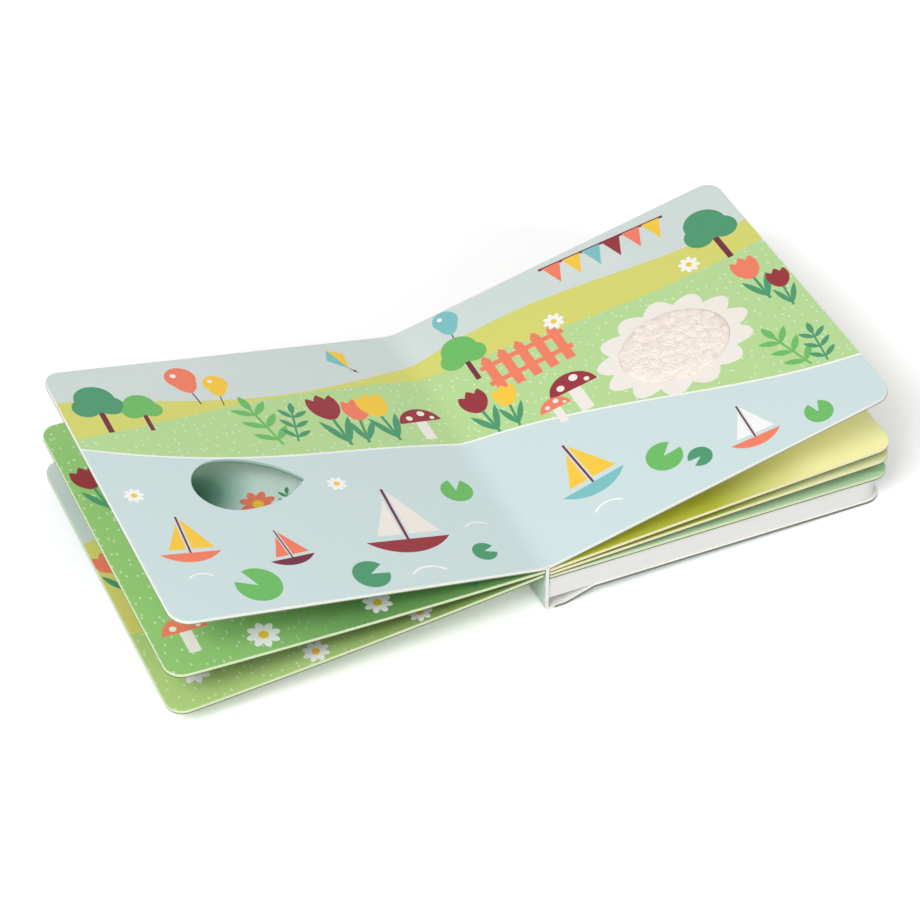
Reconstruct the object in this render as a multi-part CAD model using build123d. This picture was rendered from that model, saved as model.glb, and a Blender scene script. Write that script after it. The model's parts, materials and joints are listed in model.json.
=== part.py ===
"""Touch-and-feel sound book lying open: board leaves fanned over a block that holds a sound module.

X runs across the open book, Y along the spine and Z up from the table. The origin is on the flat foot
of the spine card, halfway along the spine. Sizes are in millimetres and angles in degrees.
"""
from build123d import *
from math import cos, radians, sin
import os

# Leaves
page_width = 185.0
page_height = 182.0
page_corner = 9.0
leaf_thickness = 2.0
glue_line = 0.1
gutter_margin = 4.0
gutter_sheet = 0.7
gutter_bend = 30.0

# Fan of the boards: lift is the slope from the gutter to the free edge, bow how far it turns on the way
first_leaf_lift_angle = 2.9
first_leaf_bow_angle = 2.2
second_leaf_lift_angle = 12.6
third_leaf_lift_angle = 12.9
fourth_leaf_lift_angle = 2.5
fourth_leaf_bow_angle = -1.0
fifth_leaf_lift_angle = 0.7
fifth_leaf_bow_angle = -1.0

# Die-cut window in the second leaf: a half circle on the outer side, drawn out to a point on the inner side
window_half_height = 18.5
window_point = 36.5
window_from_edge = 60.5
window_from_middle = -5.0
window_turn_angle = 4.0

# Touch patch in the third leaf
patch_length = 57.0
patch_height = 45.0
patch_from_edge = 71.0
patch_from_middle = -1.0
patch_recess = 0.9
patch_pile = 1.5
patch_edge_round = 1.2
patch_clearance = 0.3

# Front cover
cover_thickness = 2.0
cover_lift_angle = -3.9
cover_bow_angle = 2.9
cover_clearance = 0.3

# Spine and back cover, one folded card
spine_thickness = 1.8
spine_fold = 2.2
spine_inset = 3.0
spine_clearance = 0.5
foot_length = 8.0
ramp_reach = 24.0
ramp_bend = 6.0
back_thickness = 1.5
back_inset = 3.0

# Sound block
block_thickness = 13.0
block_inset = 5.0
block_tilt = 1.8
block_end_inset = 0.8
block_gap = 0.3
pocket_length = 118.0
pocket_height = 104.0
pocket_corner = 4.0
pocket_end_wall = 26.0

# How far a cutting shape runs past the faces that it opens
cut_past = 1.0

# Sound module: moulded tray and deck
module_clearance = 0.3
module_wall = 1.6
tray_floor = 1.8
tray_seat = 0.1
tray_top = 11.4
deck_thickness = 1.4
panel_end_margin = 2.6
panel_side_margin = 3.6
panel_corner = 4.0
panel_offset = -18.0
panel_proud = 1.3
panel_clearance = 0.4

# Press buttons, snap domes and circuit board
button_radius = 6.5
button_rim = 1.5
button_rim_thickness = 0.7
button_rise = 12.9
button_stop = 0.25
button_clearance = 0.3
button_columns = 3
button_rows = 2
button_pitch = 36.0
button_row_pitch = 52.0
dome_radius = 5.0
dome_height = 0.5
dome_film = 0.2
dome_film_margin = 8.0
board_thickness = 1.2
board_level = 8.0
board_margin = 1.0
chip_radius = 4.5
chip_height = 1.2
chip_clearance = 2.5

# Screws of the deck
screw_radius = 1.0
screw_head_radius = 2.2
screw_head_height = 0.8
screw_length = 8.0
screw_clearance = 0.1
cross_reach = 1.4
cross_width = 0.6
cross_depth = 0.5
boss_radius = 3.2
boss_inset = 6.0
boss_cap = 1.0

# Loudspeaker
speaker_radius = 18.0
speaker_flange = 1.0
speaker_flange_width = 2.0
speaker_depth = 4.0
speaker_wall = 0.7
speaker_back_radius = 9.0
magnet_radius = 8.0
magnet_height = 2.2
cone_cap_radius = 4.0
cone_inset = 2.4
speaker_seat = 1.2
speaker_seat_height = 2.0
speaker_clearance = 0.2
speaker_to_door = 0.4
grille_hole = 1.0
grille_pitch = 4.4
grille_rings = 3
lead_radius = 0.5
lead_spacing = 4.0
lead_reach = 6.0
lead_bend = 1.5

# Battery bay
cell_radius = 5.8
cell_height = 5.4
cell_cap_radius = 4.8
cell_cap_height = 0.8
cell_pitch = 12.4
cell_count = 3
bay_from_middle = 7.0
bay_clearance = 0.6
bay_wall = 1.2
contact_thickness = 0.3
contact_width = 6.0
door_thickness = 1.0
door_clearance = 0.3
door_overlap = 1.4
door_tab = 8.0
door_end_margin = 1.8
door_screw_length = 5.0

# Slide switch
switch_from_middle = -15.0
switch_from_end = 20.0
switch_length = 9.0
switch_width = 4.4
switch_height = 3.4
switch_travel = 2.0
knob_length = 3.0
knob_width = 1.6
knob_shoulder = 0.6
knob_recess = 0.3
knob_clearance = 0.2
thumb_well = 3.0
thumb_well_depth = 0.6


def upright(profile, length):
    """Carries a profile, drawn with X across and Z up, along the spine, centred on its middle."""
    return extrude(Plane.XZ.offset(-length / 2) * profile, amount=length)


def on_board(root, lift, bow, side):
    """Returns a function of (distance, height): a point that far along a board's underside and above it.

    The underside is an arc from root that turns by bow on its way to the free edge.
    With no bow it is straight.
    """
    start = radians(lift - bow / 2)
    turn = radians(bow) / page_width

    def point(distance, height):
        angle = start + turn * distance
        if bow:
            run = (sin(angle) - sin(start)) / turn
            rise = (cos(start) - cos(angle)) / turn
        else:
            run = distance * cos(start)
            rise = distance * sin(start)
        return (root[0] + side * (run - height * sin(angle)), root[1] + rise + height * cos(angle))

    return point


def board_profile(point, thickness, bow):
    """Section of one board between its underside and its upper face."""
    corners = [point(0, 0), point(page_width, 0), point(page_width, thickness), point(0, thickness)]
    if not bow:
        return make_face(Polyline(*corners, close=True))
    lower = ThreePointArc(corners[0], point(page_width / 2, 0), corners[1])
    upper = ThreePointArc(corners[2], point(page_width / 2, thickness), corners[3])
    return make_face([lower, Line(corners[1], corners[2]), upper, Line(corners[3], corners[0])])


def round_free_corners(board, thickness):
    """Rounds the corners at the free edges of boards, as seen on the page."""
    def at_free_corner(edge):
        return abs(edge.length - thickness) < thickness / 100 and abs(edge.center().X) > page_width / 2
    return fillet(board.edges().filter_by(at_free_corner), page_corner)


def crossing(start_a, end_a, start_b, end_b):
    """Point where the line through the first two points meets the line through the last two."""
    ax, ay = end_a[0] - start_a[0], end_a[1] - start_a[1]
    bx, by = end_b[0] - start_b[0], end_b[1] - start_b[1]
    reach = ((start_b[0] - start_a[0]) * by - (start_b[1] - start_a[1]) * bx) / (ax * by - ay * bx)
    return (start_a[0] + reach * ax, start_a[1] + reach * ay)


def folded_card(points, radii, thickness, end_thickness):
    """Section of a folded card: the outer line through points, and an inner line to its left.

    The card is thickness thick up to its first fold and end_thickness after it. A fold has its radius on the
    outer line where the card turns left, and on the inner line, with a minus sign, where it turns right.
    """
    depths = [thickness] + [end_thickness] * (len(points) - 2)
    inner_runs = []
    for (x0, z0), (x1, z1), depth in zip(points, points[1:], depths):
        run = Vector(x1 - x0, z1 - z0).normalized()
        shift = (-run.Y * depth, run.X * depth)
        inner_runs.append(((x0 + shift[0], z0 + shift[1]), (x1 + shift[0], z1 + shift[1])))
    inner = [inner_runs[0][0]]
    inner += [crossing(*a, *b) for a, b in zip(inner_runs, inner_runs[1:])]
    inner.append(inner_runs[-1][1])
    outer_radii = [r if r > 0 else -r - d for r, d in zip(radii, depths[1:])]
    inner_radii = [r - d if r > 0 else -r for r, d in zip(radii, depths[1:])]
    outer_line = FilletPolyline(*points, radius=outer_radii)
    inner_line = FilletPolyline(*inner, radius=inner_radii)
    sides = [Line(points[0], inner[0]), Line(points[-1], inner[-1])]
    return make_face(outer_line.edges() + inner_line.edges() + sides)


def plate(length, height, bottom, top, centre=(0, 0), corner=0):
    """Flat rectangular plate between two levels, with rounded corners if corner isn't 0."""
    outline = RectangleRounded(length, height, corner) if corner else Rectangle(length, height)
    return extrude(Pos(*centre, bottom) * outline, amount=top - bottom)


def disc(radius, bottom, top, centre=(0, 0)):
    """Round plate between two levels."""
    return extrude(Pos(*centre, bottom) * Circle(radius), amount=top - bottom)


def group(pieces):
    """Several separate solids as one node."""
    return Compound([solid for piece in pieces for solid in piece.solids()])


def cap(radius, height, level, centre=(0, 0)):
    """Shallow dome of the given base radius and height, standing on a level."""
    ball = (radius**2 + height**2) / (2 * height)
    dome = Pos(*centre, level + height - ball) * Sphere(ball)
    return dome & disc(radius * 2, level, level + height * 2, centre)


# Levels and places that follow from the sizes above

spine_outer = -spine_inset
spine_inner = spine_outer + spine_thickness
block_x = spine_inner + block_gap
block_width = page_width - block_inset
back_width = page_width - back_inset
pocket_from_spine = block_width - pocket_end_wall - pocket_length / 2
block_z = back_width * sin(radians(block_tilt)) + back_thickness * cos(radians(block_tilt))
block_top = block_z + block_thickness * cos(radians(block_tilt))
in_block = Location((block_x, 0, block_z), (0, block_tilt, 0))
in_module = in_block * Location((pocket_from_spine, 0, 0))

leaf_pitch = leaf_thickness + glue_line
window_from_gutter = page_width - window_from_edge
patch_from_gutter = page_width - patch_from_edge
sheet_under = leaf_thickness - gutter_sheet
right_root = spine_inner + spine_clearance
left_root = spine_outer - spine_clearance
sixth_level = block_top + glue_line
fifth_level = sixth_level + leaf_pitch
fourth_level = fifth_level + leaf_pitch
third_level = fourth_level + leaf_pitch
first_level = third_level - leaf_pitch

first_leaf = on_board((left_root, first_level), first_leaf_lift_angle, first_leaf_bow_angle, -1)
second_leaf = on_board((left_root, third_level), second_leaf_lift_angle, 0, -1)
third_leaf = on_board((right_root, third_level), third_leaf_lift_angle, 0, 1)
fourth_leaf = on_board((right_root, fourth_level), fourth_leaf_lift_angle, fourth_leaf_bow_angle, 1)
fifth_leaf = on_board((right_root, fifth_level), fifth_leaf_lift_angle, fifth_leaf_bow_angle, 1)
sixth_leaf = on_board((right_root, sixth_level), -block_tilt, 0, 1)

cover_hinge_x = spine_outer - cover_clearance - cover_thickness / 2
cover_hinge_z = first_level - cover_clearance - cover_thickness / 2


def leaf_plane(root, lift, side, height):
    """Plane at a height above a straight leaf's underside: X away from the gutter, Z out of the page."""
    run, rise = cos(radians(lift)), sin(radians(lift))
    out = (-side * rise, 0, run)
    origin = (root + out[0] * height, 0, third_level + out[2] * height)
    return Plane(origin=origin, x_dir=(side * run, 0, rise), z_dir=out)


def window_outline():
    """Outline of the die-cut window: a half circle, drawn out to a point by two arcs tangent to it.

    The point is turned a little towards the near edge of the page.
    """
    top, low = (0, window_half_height), (0, -window_half_height)
    point = (-window_point, 0)
    outer = ThreePointArc(low, (window_half_height, 0), top)
    upper = TangentArc(top, point, tangent=(-1, 0))
    lower = TangentArc(low, point, tangent=(-1, 0))
    return Rot(0, 0, -window_turn_angle) * make_face([outer, upper, lower])


def make_pages():
    """Six leaves as one bound solid: the top spread, the leaves under it and their glued margins."""
    left_end = second_leaf(page_width, leaf_thickness)
    right_end = third_leaf(page_width, leaf_thickness)
    valley = crossing(second_leaf(0, leaf_thickness), left_end, third_leaf(0, leaf_thickness), right_end)
    top = FilletPolyline(left_end, valley, right_end, radius=gutter_bend)
    under = Polyline(right_end, third_leaf(page_width, 0), third_leaf(0, 0), third_leaf(0, sheet_under),
                     second_leaf(0, sheet_under), second_leaf(0, 0), second_leaf(page_width, 0), left_end)
    profile = make_face(top.edges() + under.edges())
    profile += board_profile(first_leaf, leaf_thickness, first_leaf_bow_angle)
    profile += board_profile(fourth_leaf, leaf_thickness, fourth_leaf_bow_angle)
    profile += board_profile(fifth_leaf, leaf_thickness, fifth_leaf_bow_angle)
    profile += board_profile(sixth_leaf, leaf_thickness, 0)
    middle = leaf_thickness / 2
    for lower, upper in ((first_leaf, second_leaf), (sixth_leaf, third_leaf)):
        margin = Polyline(lower(0, middle), lower(gutter_margin, middle),
                          upper(gutter_margin, middle), upper(0, middle), close=True)
        profile += make_face(margin)
    pages = round_free_corners(upright(profile, page_height), leaf_thickness)

    window_plane = leaf_plane(left_root, second_leaf_lift_angle, -1, 0)
    window = window_plane * Pos(window_from_gutter, -window_from_middle, -leaf_thickness) * window_outline()
    pages -= extrude(window, amount=3 * leaf_thickness)
    recess_plane = leaf_plane(right_root, third_leaf_lift_angle, 1, leaf_thickness - patch_recess)
    oval = Ellipse(patch_length / 2, patch_height / 2)
    recess = recess_plane * Pos(patch_from_gutter, patch_from_middle) * oval
    return pages - extrude(recess, amount=leaf_thickness)


def make_fleece_patch():
    """Oval pad of fleece in its recess, standing a little above the page."""
    plane = leaf_plane(right_root, third_leaf_lift_angle, 1, leaf_thickness - patch_recess)
    oval = Ellipse(patch_length / 2 - patch_clearance, patch_height / 2 - patch_clearance)
    pad = extrude(plane * Pos(patch_from_gutter, patch_from_middle) * oval, amount=patch_recess + patch_pile)
    rim = pad.edges().sort_by(Axis(plane.origin, plane.z_dir))[-1]
    return fillet(rim, patch_edge_round)


def make_front_cover():
    """Cover board, bowed like a leaf, with a round root on its crease beside the spine."""
    start = radians(cover_lift_angle - cover_bow_angle / 2)
    middle = cover_thickness / 2
    root = (cover_hinge_x - middle * sin(start), cover_hinge_z - middle * cos(start))
    point = on_board(root, cover_lift_angle, cover_bow_angle, -1)
    board = upright(board_profile(point, cover_thickness, cover_bow_angle), page_height)
    board = round_free_corners(board, cover_thickness)
    crease = upright(Pos(cover_hinge_x, cover_hinge_z) * Circle(middle), page_height)
    return board + crease


def make_spine_and_back_cover():
    """Card folded at the foot of the spine, rising from its foot to the block and lying under it."""
    ramp_top = in_block * Pos(ramp_reach, 0, -back_thickness)
    back_end = in_block * Pos(back_width, 0, -back_thickness)
    spine_top = min(second_leaf(0, sheet_under)[1], third_leaf(0, sheet_under)[1]) - glue_line
    points = [(spine_outer, spine_top), (spine_outer, 0), (foot_length, 0),
              (ramp_top.position.X, ramp_top.position.Z), (back_end.position.X, back_end.position.Z)]
    section = folded_card(points, [spine_fold, ramp_bend, -ramp_bend], spine_thickness, back_thickness)
    card = round_free_corners(upright(section, page_height), back_thickness)
    cut = plate(panel_length + 2 * panel_clearance, panel_height + 2 * panel_clearance, -2 * back_thickness,
                back_thickness, (0, panel_offset), panel_corner + panel_clearance)
    return card - in_module * cut


def make_sound_block():
    """White slab with rounded free corners and a pocket right through it for the module."""
    length = page_height - 2 * block_end_inset
    slab = plate(block_width, length, 0, block_thickness, (block_width / 2, 0))
    slab = fillet(slab.edges().filter_by(Axis.Z).group_by(Axis.X)[-1], page_corner)
    slab -= plate(pocket_length, pocket_height, -cut_past, block_thickness + cut_past,
                  (pocket_from_spine, 0), pocket_corner)
    return in_block * slab


# Sound module, in its own frame: X away from the spine, Z up from the back cover's inner face

module_length = pocket_length - 2 * module_clearance
module_height = pocket_height - 2 * module_clearance
module_corner = pocket_corner - module_clearance
floor_top = tray_seat + tray_floor
panel_inside = tray_floor - panel_proud
board_top = board_level + board_thickness
deck_top = tray_top + deck_thickness
boss_places = [(sx * (module_length / 2 - boss_inset), sy * (module_height / 2 - boss_inset))
               for sx in (-1, 1) for sy in (-1, 1)]
button_columns_at = [(column - (button_columns - 1) / 2) * button_pitch for column in range(button_columns)]
button_rows_at = [(row - (button_rows - 1) / 2) * button_row_pitch for row in range(button_rows)]
button_places = [(x, y) for y in button_rows_at for x in button_columns_at]

door_inside = door_thickness - panel_proud
cell_bottom = door_inside + contact_thickness + glue_line
cell_top = cell_bottom + cell_height
bay_roof = cell_top + contact_thickness + glue_line
bay_length = (cell_count - 1) * cell_pitch + 2 * (cell_radius + bay_clearance)
bay_height = 2 * (cell_radius + bay_clearance)
door_length = bay_length + door_tab
door_recess_length = door_length + 2 * door_overlap
speaker_reach = speaker_radius + speaker_clearance + speaker_seat

# The panel is as large as the loudspeaker and the battery door side by side, with a margin round them

panel_length = panel_end_margin + 2 * speaker_reach + speaker_to_door + door_recess_length + door_end_margin
panel_height = 2 * (speaker_reach + panel_side_margin)
panel_end = panel_length / 2
speaker_place = (panel_end_margin + speaker_reach - panel_end, panel_offset)
door_place = (panel_end - door_end_margin - door_recess_length / 2, panel_offset + bay_from_middle)
bay_place = (door_place[0] - door_tab / 2, door_place[1])
first_cell = bay_place[0] - (cell_count - 1) / 2 * cell_pitch
cell_places = [(first_cell + i * cell_pitch, bay_place[1]) for i in range(cell_count)]
door_screw_place = (bay_place[0] + bay_length / 2 + (bay_wall + door_tab) / 2, bay_place[1])
switch_place = (panel_end - switch_from_end, panel_offset + switch_from_middle)
switch_bottom = panel_inside + glue_line
door_screw_tip = door_screw_length - panel_proud


def grille_holes():
    """Rings of round sound holes round one in the middle."""
    places = [(0, 0)]
    for ring in range(1, grille_rings):
        places += [(loc.position.X, loc.position.Y) for loc in PolarLocations(ring * grille_pitch, 6 * ring)]
    x, y = speaker_place
    bottom, top = -panel_proud - cut_past, panel_inside + cut_past
    return [disc(grille_hole, bottom, top, (x + dx, y + dy)) for dx, dy in places]


def make_module_tray():
    """Moulded tray whose floor is let down into a panel that fills the back cover's cut-out."""
    tray = plate(module_length, module_height, tray_seat, tray_top, corner=module_corner)
    tray -= plate(module_length - 2 * module_wall, module_height - 2 * module_wall,
                  floor_top, tray_top + cut_past, corner=module_corner - module_wall)
    tray += plate(panel_length, panel_height, -panel_proud, floor_top, (0, panel_offset), panel_corner)
    tray -= plate(panel_length - 2 * module_wall, panel_height - 2 * module_wall, panel_inside, tray_top,
                  (0, panel_offset), panel_corner - module_wall)

    below = -panel_proud - cut_past
    tray += plate(bay_length + 2 * bay_wall, bay_height + 2 * bay_wall,
                  -panel_proud, bay_roof + bay_wall, bay_place)
    tray += disc(boss_radius, -panel_proud, door_screw_tip + boss_cap, door_screw_place)
    tray -= plate(bay_length, bay_height, below, bay_roof, bay_place)
    tray -= plate(door_recess_length, bay_height + 2 * door_overlap,
                  below, door_inside, door_place)
    tray -= disc(screw_radius + screw_clearance, below, door_screw_tip + screw_clearance, door_screw_place)

    seat_bottom = panel_inside - module_wall / 2
    ring = disc(speaker_reach, seat_bottom, panel_inside + speaker_seat_height, speaker_place)
    ring -= disc(speaker_radius + speaker_clearance, below, tray_top, speaker_place)
    tray += ring
    tray -= grille_holes()

    for place in boss_places:
        tray += disc(boss_radius, tray_seat, board_level, place)
        tray -= disc(screw_radius + screw_clearance, floor_top, board_level + cut_past, place)

    slot_height = knob_length + switch_travel + 2 * knob_clearance
    slot_place = (switch_place[0], switch_place[1] + switch_travel / 2)
    tray -= plate(knob_width + 2 * knob_clearance, slot_height, below, panel_inside + cut_past, slot_place)
    return tray - plate(knob_width + 2 * thumb_well, slot_height + 2 * thumb_well,
                        below, thumb_well_depth - panel_proud, slot_place, thumb_well)


def make_button_deck():
    """Top plate with a guide hole for each press button and countersunk screw holes."""
    deck = plate(module_length, module_height, tray_top, deck_top, corner=module_corner)
    below, above = tray_top - cut_past, deck_top + cut_past
    for place in button_places:
        deck -= disc(button_radius + button_clearance, below, above, place)
    head_seat = deck_top - screw_head_height - screw_clearance
    for place in boss_places:
        deck -= disc(screw_radius + screw_clearance, below, above, place)
        deck -= disc(screw_head_radius + screw_clearance, head_seat, above, place)
    return deck


def make_press_button(place):
    """Round plunger with a rim that keeps it under the deck."""
    rim_top = tray_top - button_stop
    button = disc(button_radius, rim_top - button_rim_thickness, button_rise, place)
    button = fillet(button.edges().group_by(Axis.Z)[-1], button_rim_thickness / 2)
    return button + disc(button_radius + button_rim, rim_top - button_rim_thickness, rim_top, place)


def make_dome_sheet():
    """Film with one snap dome under each press button, open round the chip."""
    length = (button_columns - 1) * button_pitch + 2 * dome_film_margin
    height = (button_rows - 1) * button_row_pitch + 2 * dome_film_margin
    film_top = board_top + dome_film
    film = plate(length, height, board_top, film_top)
    film -= disc(chip_radius + chip_clearance, board_top - cut_past, film_top + cut_past)
    for place in button_places:
        film += cap(dome_radius, dome_height, film_top, place)
    return film


def make_circuit_board():
    """Board on the tray's bosses, with a hole for each deck screw."""
    edge = module_wall + board_margin
    board = plate(module_length - 2 * edge, module_height - 2 * edge, board_level, board_top)
    for place in boss_places:
        board -= disc(screw_radius + screw_clearance, board_level - cut_past, board_top + cut_past, place)
    return board


def make_speaker():
    """Loudspeaker facing the sound holes: a pressed frame, a paper cone and a magnet."""
    face = panel_inside
    back = face + speaker_depth
    inner = speaker_radius - speaker_flange_width
    frame_line = Polyline((magnet_radius / 2, back), (speaker_back_radius, back),
                          (inner, face + speaker_flange), (speaker_radius, face + speaker_flange),
                          (speaker_radius, face), (inner - speaker_wall, face),
                          (speaker_back_radius - speaker_wall, back - speaker_wall),
                          (magnet_radius / 2, back - speaker_wall), close=True)
    cone_edge = inner - speaker_wall - cone_inset
    cone_deep = face + speaker_depth / 2
    cone_line = Polyline((0, cone_deep), (cone_cap_radius, cone_deep), (cone_edge, face + speaker_wall),
                         (cone_edge, face), (cone_cap_radius, cone_deep - speaker_wall),
                         (0, cone_deep - speaker_wall), close=True)
    frame = Pos(*speaker_place, 0) * revolve(Plane.XZ * make_face(frame_line), Axis.Z)
    cone = Pos(*speaker_place, 0) * revolve(Plane.XZ * make_face(cone_line), Axis.Z)
    return frame, cone, disc(magnet_radius, back, back + magnet_height, speaker_place)


def make_speaker_leads():
    """Two short wires from the back of the loudspeaker up to the circuit board."""
    level = panel_inside + speaker_depth + lead_radius
    leads = []
    for side in (-1, 1):
        start = (speaker_place[0], speaker_place[1] + side * lead_spacing / 2)
        x = start[0] + magnet_radius + lead_radius
        path = FilletPolyline((x, start[1], level), (x + lead_reach, start[1], level),
                              (x + lead_reach, start[1], board_level), radius=lead_bend)
        leads.append(sweep(Plane(path @ 0, z_dir=path % 0) * Circle(lead_radius), path))
    return group(leads)


def make_contacts(pairs, bottom):
    """Sprung contact plates on one level, each reaching over the cells whose places it joins."""
    plates = []
    for first, last in pairs:
        length = last[0] - first[0] + contact_width
        middle = ((first[0] + last[0]) / 2, first[1])
        plates.append(plate(length, contact_width, bottom, bottom + contact_thickness, middle))
    return group(plates)


def make_battery_door():
    """Cover plate of the battery bay, with a countersunk hole in its tab."""
    length = door_recess_length - 2 * door_clearance
    height = bay_height + 2 * (door_overlap - door_clearance)
    door = plate(length, height, -panel_proud, door_inside, door_place)
    below = -panel_proud - cut_past
    door -= disc(screw_radius + screw_clearance, below, door_inside + cut_past, door_screw_place)
    head_seat = screw_head_height + screw_clearance - panel_proud
    return door - disc(screw_head_radius + screw_clearance, below, head_seat, door_screw_place)


def make_screw(place, head, length, downwards):
    """Flat-headed screw with a cross recess: head's outer face at a level, shank down or up from there."""
    way = -1 if downwards else 1
    levels = sorted((head, head + way * screw_head_height))
    screw = disc(screw_head_radius, *levels, place)
    levels = sorted((head, head + way * length))
    screw += disc(screw_radius, *levels, place)
    levels = sorted((head - way * cut_past, head + way * cross_depth))
    screw -= plate(2 * cross_reach, cross_width, *levels, place)
    return screw - plate(cross_width, 2 * cross_reach, *levels, place)


def make_button_cell(place, turned_over):
    """Button cell: a can with a narrower cap on top, or underneath if it is turned over in the row."""
    if turned_over:
        can = disc(cell_radius, cell_bottom + cell_cap_height, cell_top, place)
        return can + disc(cell_cap_radius, cell_bottom, cell_bottom + cell_cap_height, place)
    can = disc(cell_radius, cell_bottom, cell_top - cell_cap_height, place)
    return can + disc(cell_cap_radius, cell_top - cell_cap_height, cell_top, place)


def make_switch_body():
    """Housing of the slide switch, with a channel for the knob's shoulder."""
    centre = (switch_place[0], switch_place[1] + switch_travel / 2)
    body = plate(switch_width, switch_length, switch_bottom, switch_bottom + switch_height, centre)
    channel = knob_length + switch_travel + 2 * knob_clearance
    return body - plate(knob_width + 2 * (knob_shoulder + knob_clearance), channel,
                        switch_bottom - cut_past, switch_bottom + switch_height / 2, centre)


def make_switch_knob():
    """Sliding knob: a shoulder inside the switch and a stem out through the panel's slot."""
    top = switch_bottom + switch_height / 2 - knob_clearance
    knob = plate(knob_width, knob_length, knob_recess - panel_proud, top, switch_place)
    return knob + plate(knob_width + 2 * knob_shoulder, knob_length,
                        switch_bottom + knob_clearance, top, switch_place)


def make_module():
    """All pieces of the sound module, by name, in the module's own frame."""
    frame, cone, magnet = make_speaker()
    first, middle, last = cell_places
    deck_screws = [make_screw(place, deck_top, screw_length, True) for place in boss_places]
    pieces = {
        "module_tray": make_module_tray(),
        "button_deck": make_button_deck(),
        "dome_sheet": make_dome_sheet(),
        "circuit_board": make_circuit_board(),
        "sound_chip": cap(chip_radius, chip_height, board_top),
        "speaker_frame": frame,
        "speaker_cone": cone,
        "speaker_magnet": magnet,
        "speaker_leads": make_speaker_leads(),
        "door_contacts": make_contacts([(first, middle), (last, last)], door_inside),
        "bay_contacts": make_contacts([(first, first), (middle, last)], cell_top + glue_line),
        "battery_door": make_battery_door(),
        "battery_door_screw": make_screw(door_screw_place, -panel_proud, door_screw_length, False),
        "switch_body": make_switch_body(),
        "switch_knob": make_switch_knob(),
        "deck_screws": group(deck_screws),
    }
    for number, place in enumerate(cell_places, 1):
        pieces[f"button_cell_{number}"] = make_button_cell(place, number % 2 == 0)
    for number, place in enumerate(button_places, 1):
        pieces[f"press_button_{number}"] = make_press_button(place)
    return pieces


parts = {
    "pages": make_pages(),
    "fleece_patch": make_fleece_patch(),
    "front_cover": make_front_cover(),
    "spine_and_back_cover": make_spine_and_back_cover(),
    "sound_block": make_sound_block(),
}
for name, piece in make_module().items():
    parts[name] = in_module * piece

os.makedirs("parts", exist_ok=True)
for name, piece in parts.items():
    export_step(piece, f"parts/{name}.step")
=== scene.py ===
# %% [markdown]
# # A touch-and-feel sound book, lying open
# The book's construction comes from a CAD model: six board leaves, a front cover, a folded spine card and
# a thick block with a sound module. This lesson dresses it. Every leaf becomes its own printed board, the
# touch patch becomes a pad of fleece, and each moulded piece gets its finish. All lengths are in metres.

# %% The frame
import json
from math import atan2, cos, dist, hypot, pi, radians, sin, tan
import bpy
import numpy as np
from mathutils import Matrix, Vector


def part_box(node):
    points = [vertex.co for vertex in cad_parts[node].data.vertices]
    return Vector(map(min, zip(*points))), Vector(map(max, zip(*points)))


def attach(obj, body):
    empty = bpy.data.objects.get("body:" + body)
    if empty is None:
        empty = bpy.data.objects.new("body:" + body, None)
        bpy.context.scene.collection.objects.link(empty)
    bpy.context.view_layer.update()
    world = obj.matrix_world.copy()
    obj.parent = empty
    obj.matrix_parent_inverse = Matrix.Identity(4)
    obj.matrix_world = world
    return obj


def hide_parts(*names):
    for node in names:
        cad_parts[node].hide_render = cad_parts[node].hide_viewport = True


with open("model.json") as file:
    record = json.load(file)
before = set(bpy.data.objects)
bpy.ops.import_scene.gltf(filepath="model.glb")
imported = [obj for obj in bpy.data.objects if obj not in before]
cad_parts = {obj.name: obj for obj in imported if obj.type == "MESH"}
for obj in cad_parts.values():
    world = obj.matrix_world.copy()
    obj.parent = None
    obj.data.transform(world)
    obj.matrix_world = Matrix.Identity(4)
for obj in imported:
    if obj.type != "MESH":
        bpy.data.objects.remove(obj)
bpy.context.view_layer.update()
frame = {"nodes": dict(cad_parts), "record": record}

# %% [markdown]
# ## Camera
# The camera stands where the photographer stood, some 1.4 m away with a long lens, so that the pages look
# nearly as a drawing shows them. It could be aimed by a Track To constraint, but a fixed position and two
# angles are easier to compare with a picture.

# %% Camera
camera_place = (-0.4403, -0.9503, 0.9885)
camera_elevation = 42.79
camera_azimuth = -24.6
camera_data = bpy.data.cameras.new("camera")
camera_data.lens = 114.77
camera_data.sensor_width = 36.0


def linked(name, data):
    """A new object with this data, in the scene."""
    thing = bpy.data.objects.new(name, data)
    bpy.context.scene.collection.objects.link(thing)
    return thing


camera = linked("camera", camera_data)
camera.location = camera_place
camera.rotation_euler = (radians(90 - camera_elevation), 0, radians(camera_azimuth))
bpy.context.scene.camera = camera
bpy.context.scene.view_settings.view_transform = "Standard"
print("camera", camera_place, "lens", camera_data.lens)

# %% [markdown]
# ## Sums in a material
# A print is a picture made of sums: which side of a line a point is on, how far it is from a centre. In
# Blender each sum is a Math node, and wiring hundreds of them by hand is hard to read. So one small class
# holds a node's output and lets Python's own signs do the wiring: `a * b + 1` adds two Math nodes.


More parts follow.
